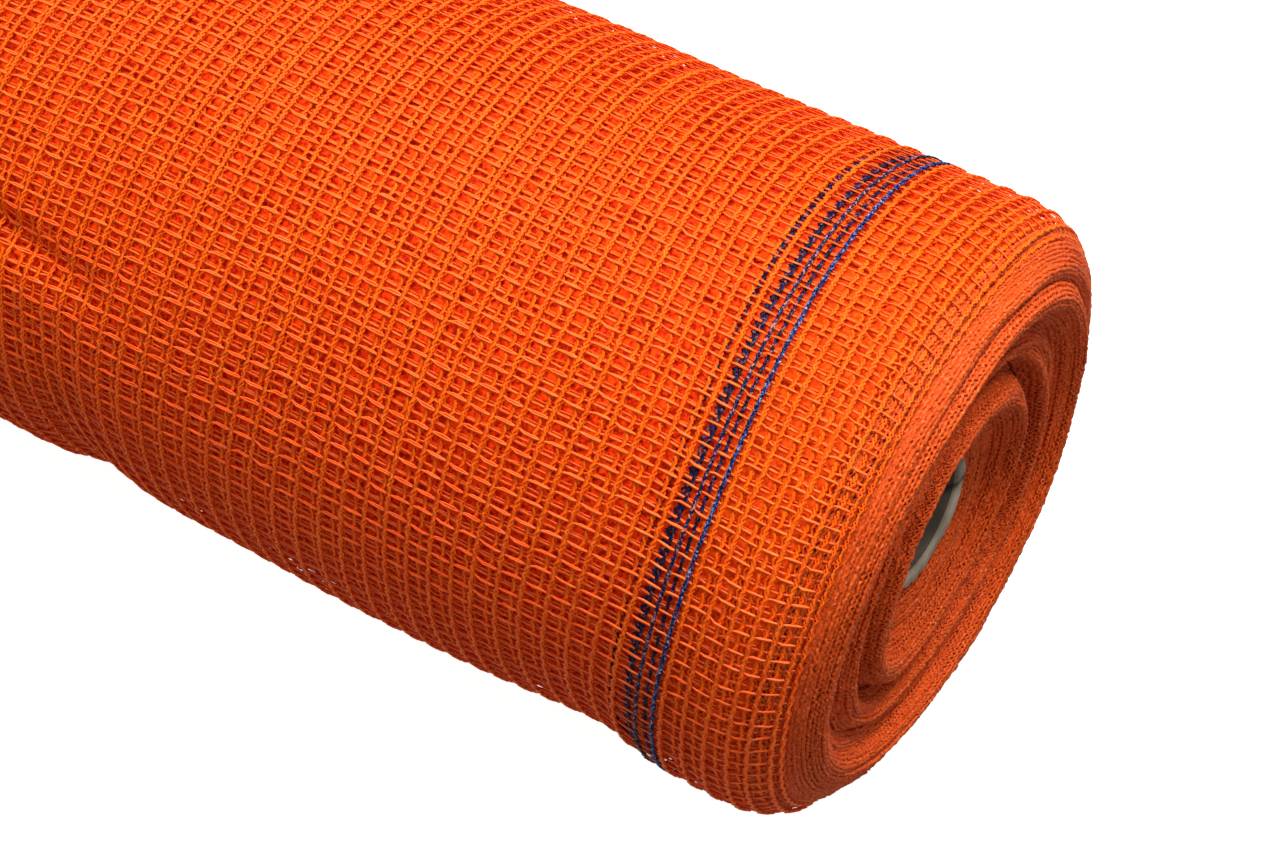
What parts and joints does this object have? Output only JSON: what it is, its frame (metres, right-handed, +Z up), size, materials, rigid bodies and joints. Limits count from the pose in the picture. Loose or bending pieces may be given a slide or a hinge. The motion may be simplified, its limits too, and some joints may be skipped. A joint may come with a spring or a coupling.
{
  "type": "roll of debris netting",
  "caption": "Roll of orange knitted debris netting wound on a cardboard tube, lying on its side, with a blue marker thread along one edge and an open bore for a carrying pole.",
  "frame": {"origin": "middle of the underside of the lying roll, on the surface that it lies on", "axes": "+X along the tube towards the end that the picture shows, +Z up, +Y across the roll"},
  "size_m": [2, 0.234, 0.2087],
  "materials": {
    "netting": "satin knitted polyethylene tape and monofilament",
    "cardboard": "matt spiral-wound paper"
  },
  "bodies": {
    "root": {"netting_roll": "netting", "core_tube": "cardboard"}
  },
  "joints": []
}
